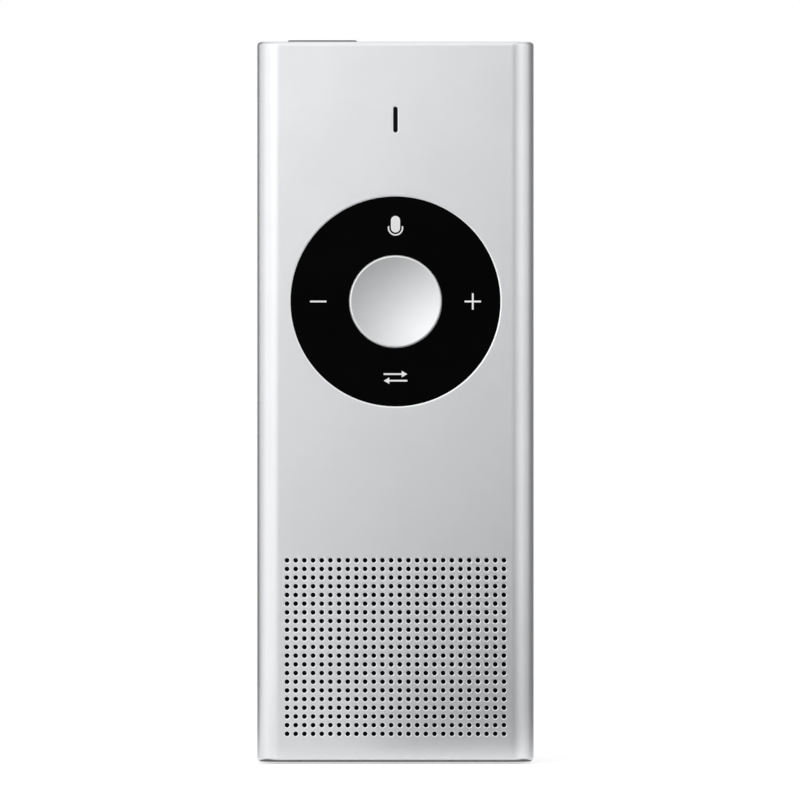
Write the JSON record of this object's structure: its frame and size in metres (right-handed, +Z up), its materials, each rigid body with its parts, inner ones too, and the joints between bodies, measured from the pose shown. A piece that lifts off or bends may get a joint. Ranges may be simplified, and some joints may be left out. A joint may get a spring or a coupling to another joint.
{
  "type": "handheld translator",
  "caption": "Slim silver aluminium handheld translator with a black rocking key ring, a dished centre button, a top power key and a drilled speaker grille.",
  "frame": {"origin": "middle of the bottom end, halfway through the thickness", "axes": "+X to the right, +Y to the back, +Z up the length; the key ring's face looks along -Y"},
  "size_m": [0.0502, 0.0078, 0.1313],
  "materials": {
    "silver": "bead-blasted, clear anodised",
    "dish": "bead-blasted, clear anodised, polished edge",
    "dark_metal": "dark anodised",
    "black_gloss": "smooth black",
    "white_print": "white print",
    "smoke": "smoked, clear coated",
    "steel": "plain",
    "nylon": "moulded, fine grain",
    "board": "solder mask",
    "foam": "foam",
    "pouch": "foil pouch",
    "lead": "insulated wire",
    "chip": "moulded resin",
    "lamp": "clear resin",
    "soft_rubber": "soft, matte",
    "copper": "gold plated",
    "flex": "polyimide",
    "mesh": "woven dust mesh",
    "magnet": "nickel plated"
  },
  "bodies": {
    "housing": {"housing_sleeve": "silver", "top_cap": "silver", "bottom_cap": "silver", "cap_screws": "steel", "inner_frame": "nylon", "main_board": "board", "board_screws": "steel", "battery_pad": "foam", "battery_cell": "pouch", "battery_connector": "nylon", "battery_leads": "lead", "shield_can": "steel", "processor_chip": "chip", "memory_chip": "chip", "power_chip": "chip", "ring_domes": "steel", "centre_dome": "steel", "status_lens": "smoke", "status_lamp": "lamp", "power_switch": "nylon", "microphone_top": "chip", "mic_boot_top": "soft_rubber", "microphone_bottom": "chip", "mic_boot_bottom": "soft_rubber", "antenna_strip": "copper", "grille_mesh": "mesh", "speaker_gasket": "foam", "speaker_basket": "nylon", "speaker_yoke": "steel", "speaker_magnet": "magnet", "speaker_pole": "steel", "speaker_surround": "soft_rubber", "speaker_contacts": "copper", "usb_shell": "steel", "usb_tongue": "nylon", "usb_board": "board", "usb_flex": "flex"},
    "tilt": {"tilt_ring": "nylon", "cross_pins": "steel"},
    "key": {"ring_key": "black_gloss", "ring_nubs": "soft_rubber", "ring_symbols": "white_print", "upright_pins": "steel"},
    "centre": {"centre_button": "dish", "centre_stem": "soft_rubber"},
    "power": {"power_button": "dark_metal", "switch_plunger": "nylon"},
    "cone": {"speaker_diaphragm": "nylon", "voice_coil": "copper"}
  },
  "joints": [
    {"name": "ring_tilt_up_down", "type": "hinge", "parent": "housing", "child": "tilt", "pos_m": [0, -0.0017, 0.08373], "axis": [1, 0, 0], "range_deg": [-0.9, 0.9], "stiffness_Nm_per_rad": 1.5, "deforming": ["ring_domes"]},
    {"name": "ring_tilt_left_right", "type": "hinge", "parent": "tilt", "child": "key", "pos_m": [0, -0.0017, 0.08373], "axis": [0, 0, 1], "range_deg": [-0.9, 0.9], "stiffness_Nm_per_rad": 1.5},
    {"name": "centre_press", "type": "slide", "parent": "housing", "child": "centre", "axis": [0, 1, 0], "range_m": [0, 0.0003], "stiffness_N_per_m": 4000, "deforming": ["centre_dome"]},
    {"name": "power_press", "type": "slide", "parent": "housing", "child": "power", "axis": [0, 0, -1], "range_m": [0, 0.00025], "stiffness_N_per_m": 4000},
    {"name": "speaker_stroke", "type": "slide", "parent": "housing", "child": "cone", "axis": [0, 1, 0], "range_m": [-0.00025, 0.00025], "stiffness_N_per_m": 800, "deforming": ["speaker_surround"]}
  ]
}
